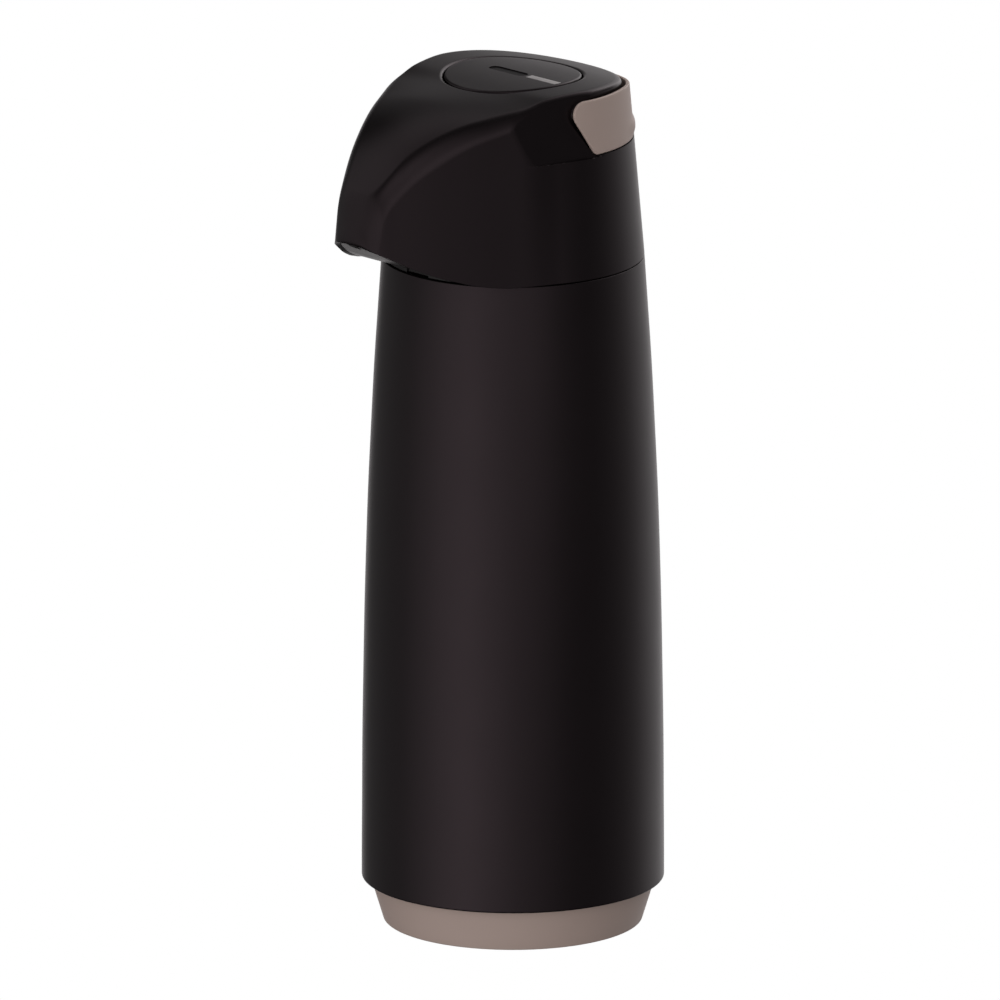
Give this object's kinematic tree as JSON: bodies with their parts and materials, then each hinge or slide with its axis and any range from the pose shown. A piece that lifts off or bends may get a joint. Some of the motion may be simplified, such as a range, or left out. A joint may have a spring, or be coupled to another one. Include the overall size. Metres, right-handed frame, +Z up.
{
  "type": "airpot",
  "caption": "Slim pump-action vacuum airpot with a beak-shaped hinged lid, twist-and-press button, fold-up carrying band and inset base.",
  "frame": {"origin": "centre of the flat underside, on the axis of the round body", "axes": "+Z up along the body's axis; the pouring nose points to -Y; +X is the side that the button's pointer points to"},
  "size_m": [0.12, 0.151, 0.3459],
  "materials": {
    "body_black": "fine satin moulded polypropylene, warm black",
    "taupe": "satin moulded polypropylene, warm grey brown",
    "inner_black": "plain moulded black plastic",
    "rubber_black": "matt non-slip rubber",
    "rubber_grey": "soft grey rubber",
    "silvered_glass": "silvered vacuum glass",
    "natural_plastic": "natural food-grade polypropylene, slightly milky",
    "silicone": "translucent food-grade silicone",
    "steel": "stainless steel",
    "light_grey": "light grey moulded inlay"
  },
  "bodies": {
    "root": {"outer_shell": "body_black", "base_cap": "taupe", "foot_pad": "rubber_black", "flask_cushion": "rubber_grey", "flask_outer_glass": "silvered_glass", "flask_inner_glass": "silvered_glass", "shoulder_gasket": "rubber_grey", "neck_collar": "inner_black", "tube_holder": "natural_plastic", "dip_tube": "natural_plastic", "tube_seal": "silicone", "hinge_pin": "steel"},
    "lid": {"head_shell": "body_black", "lid_base": "inner_black", "mouth_gasket": "silicone", "pump_cylinder": "inner_black", "pump_floor": "inner_black", "inlet_elbow": "natural_plastic", "tip_valve_housing": "natural_plastic", "spout_pipe": "natural_plastic", "spout_nozzle": "inner_black", "nose_cover": "inner_black", "lid_screws": "steel", "handle_pins": "steel", "latch_leaf": "steel", "air_check_valve": "silicone", "bellows": "silicone", "return_spring": "steel"},
    "pump": {"pump_plate": "inner_black"},
    "inlet_flap": {"inlet_valve": "silicone"},
    "button": {"button_cap": "body_black", "pointer_strip": "light_grey"},
    "handle": {"handle_band": "taupe"},
    "latch": {"latch_tab": "inner_black"},
    "tip_ball": {"tip_valve_ball": "steel"}
  },
  "joints": [
    {"name": "lid_hinge", "type": "hinge", "parent": "root", "child": "lid", "pos_m": [0, 0.056, 0.27171], "axis": [-1, 0, 0], "range_deg": [0, 95]},
    {"name": "pump_stroke", "type": "slide", "parent": "lid", "child": "pump", "axis": [0, 0, -1], "range_m": [0, 0.018], "stiffness_N_per_m": 250, "springref_m": -0.02, "deforming": ["bellows", "return_spring"]},
    {"name": "button_twist", "type": "hinge", "parent": "pump", "child": "button", "pos_m": [0, 0, 0.34586], "axis": [0, 0, 1], "range_deg": [0, 45]},
    {"name": "inlet_valve_lift", "type": "slide", "parent": "pump", "child": "inlet_flap", "axis": [0, 0, -1], "range_m": [0, 0.001], "stiffness_N_per_m": 6, "springref_m": -0.004},
    {"name": "handle_swing", "type": "hinge", "parent": "lid", "child": "handle", "pos_m": [0, -0.00469, 0.33752], "axis": [1, 0, 0], "range_deg": [0, 95]},
    {"name": "latch_press", "type": "slide", "parent": "lid", "child": "latch", "axis": [0, 1, 0], "range_m": [0, 0.002], "stiffness_N_per_m": 120, "springref_m": -0.004},
    {"name": "tip_ball_roll", "type": "slide", "parent": "lid", "child": "tip_ball", "axis": [0, 0, 1], "range_m": [0, 0.004]}
  ]
}
